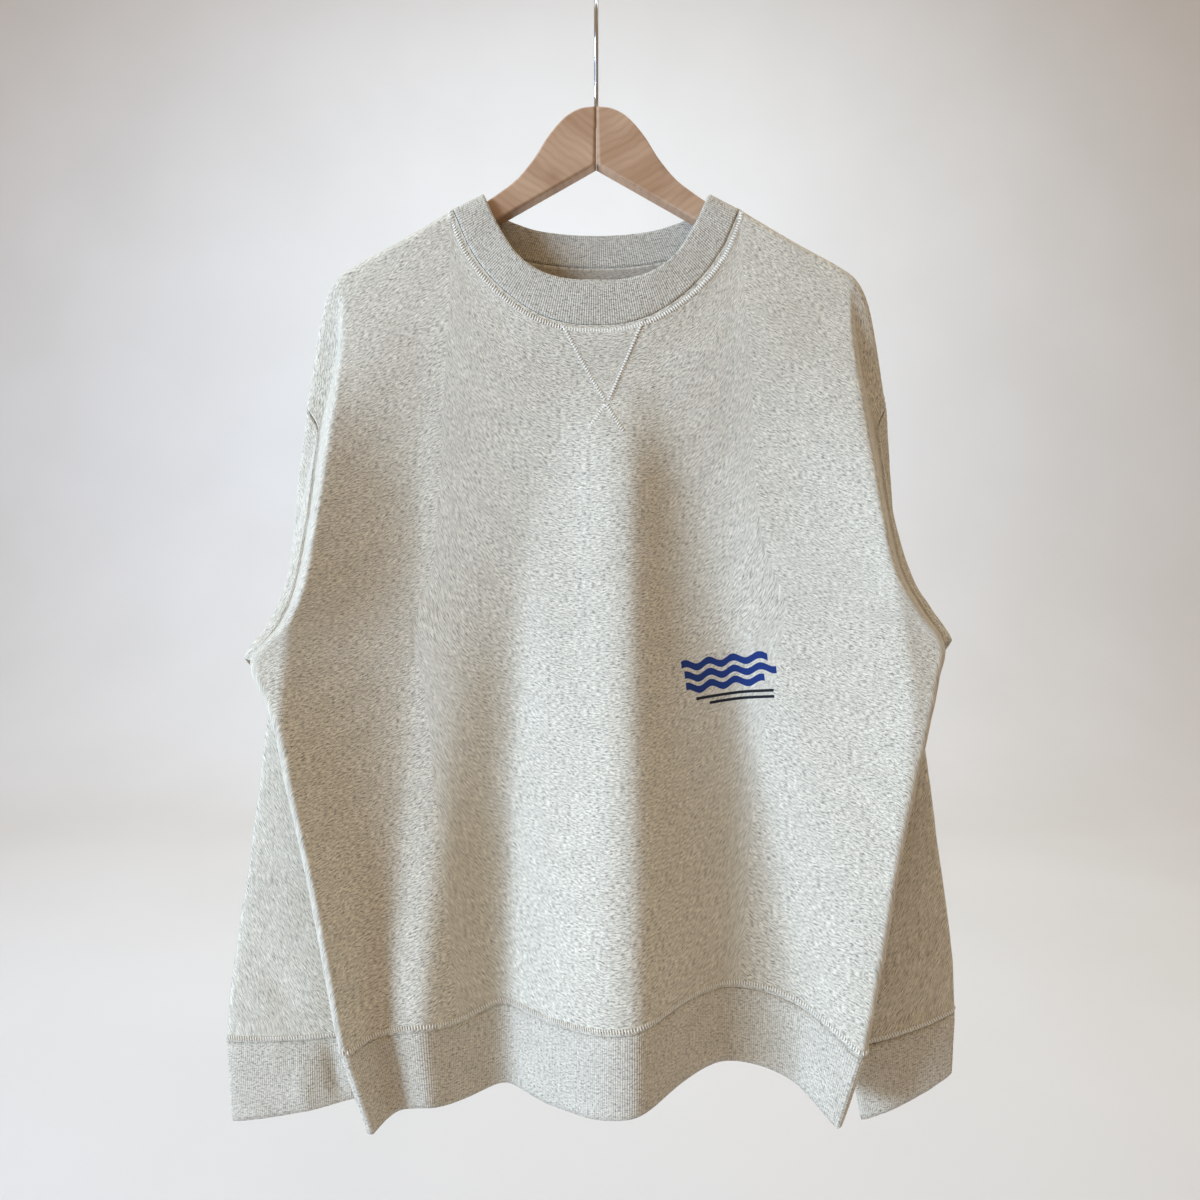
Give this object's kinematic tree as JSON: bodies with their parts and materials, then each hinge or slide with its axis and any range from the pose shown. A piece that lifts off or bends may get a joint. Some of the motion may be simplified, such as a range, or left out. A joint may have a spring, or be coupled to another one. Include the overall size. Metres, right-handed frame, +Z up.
{
  "type": "crewneck sweatshirt on a wooden hanger",
  "caption": "Crewneck sweatshirt in heather fleece with ribbed neck, cuffs and hem, hung on a plain wooden hanger by its wire hook.",
  "frame": {"origin": "inside top of the hanger's hook, where a rail or peg carries it", "axes": "+Z up, -Y out of the front of the garment, +X to the right of someone facing the front"},
  "size_m": [0.6524, 0.1126, 0.9784],
  "materials": {
    "heather_fleece": "oatmeal heather loopback jersey, brushed dry",
    "heather_rib": "oatmeal heather fine rib",
    "neck_tape": "heather jersey tape",
    "hanger_wood": "pale sanded wood under a thin satin lacquer",
    "hook_wire": "polished chromed wire"
  },
  "bodies": {
    "root": {"front_panel": "heather_fleece", "back_panel": "heather_fleece", "neck_v_insert": "heather_fleece", "sleeve_left": "heather_fleece", "sleeve_right": "heather_fleece", "hem_band_front": "heather_rib", "hem_band_back": "heather_rib", "neckband": "heather_rib", "cuff_left": "heather_rib", "cuff_right": "heather_rib", "neck_tape": "neck_tape", "hanger_arm_left": "hanger_wood", "hanger_arm_right": "hanger_wood", "hanger_hook": "hook_wire"}
  },
  "joints": []
}
